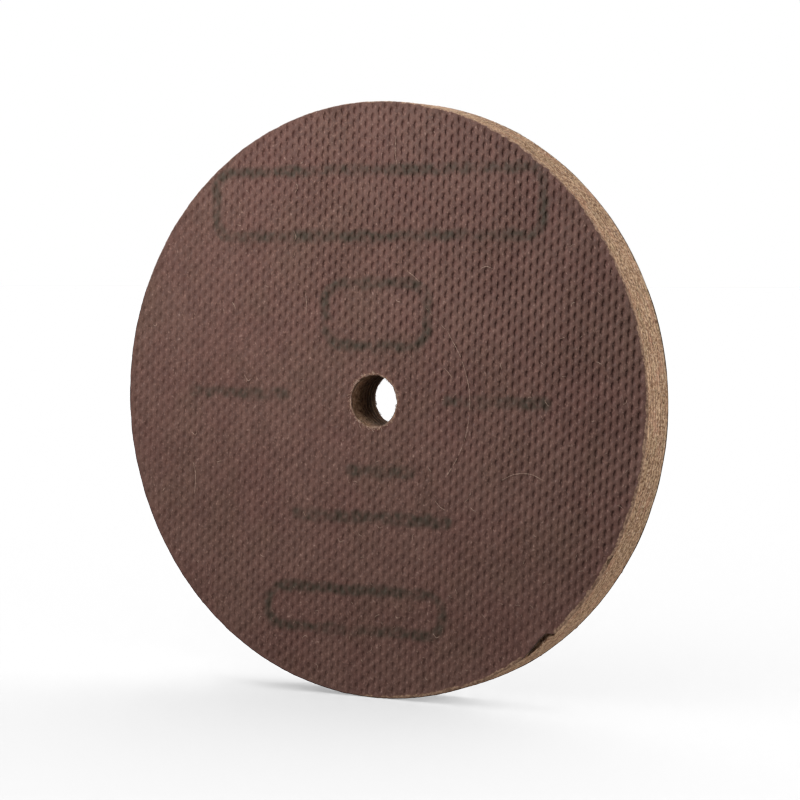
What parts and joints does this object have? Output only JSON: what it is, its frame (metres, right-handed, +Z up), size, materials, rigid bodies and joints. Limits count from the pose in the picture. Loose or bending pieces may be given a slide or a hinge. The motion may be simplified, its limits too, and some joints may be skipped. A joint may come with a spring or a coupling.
{
  "type": "polishing wheel",
  "caption": "Flat laminated abrasive polishing wheel: fibre plies between two cloth-marked rubber skins, with a plain arbor hole.",
  "frame": {"origin": "centre of the arbor hole, halfway through the wheel's thickness", "axes": "+Y along the axis the wheel turns about, from the front face to the back face; +Z up"},
  "size_m": [0.0762, 0.0064, 0.0762],
  "materials": {
    "facing": "matte",
    "core": "matte",
    "bond": "matte"
  },
  "bodies": {
    "root": {"front_facing": "facing", "back_facing": "facing", "core_ply_1": "core", "core_ply_2": "core", "core_ply_3": "core", "core_ply_4": "core", "core_ply_5": "core", "core_ply_6": "core", "core_ply_7": "core", "core_ply_8": "core", "bond_film_1": "bond", "bond_film_2": "bond", "bond_film_3": "bond", "bond_film_4": "bond", "bond_film_5": "bond", "bond_film_6": "bond", "bond_film_7": "bond", "bond_film_8": "bond", "bond_film_9": "bond"}
  },
  "joints": []
}
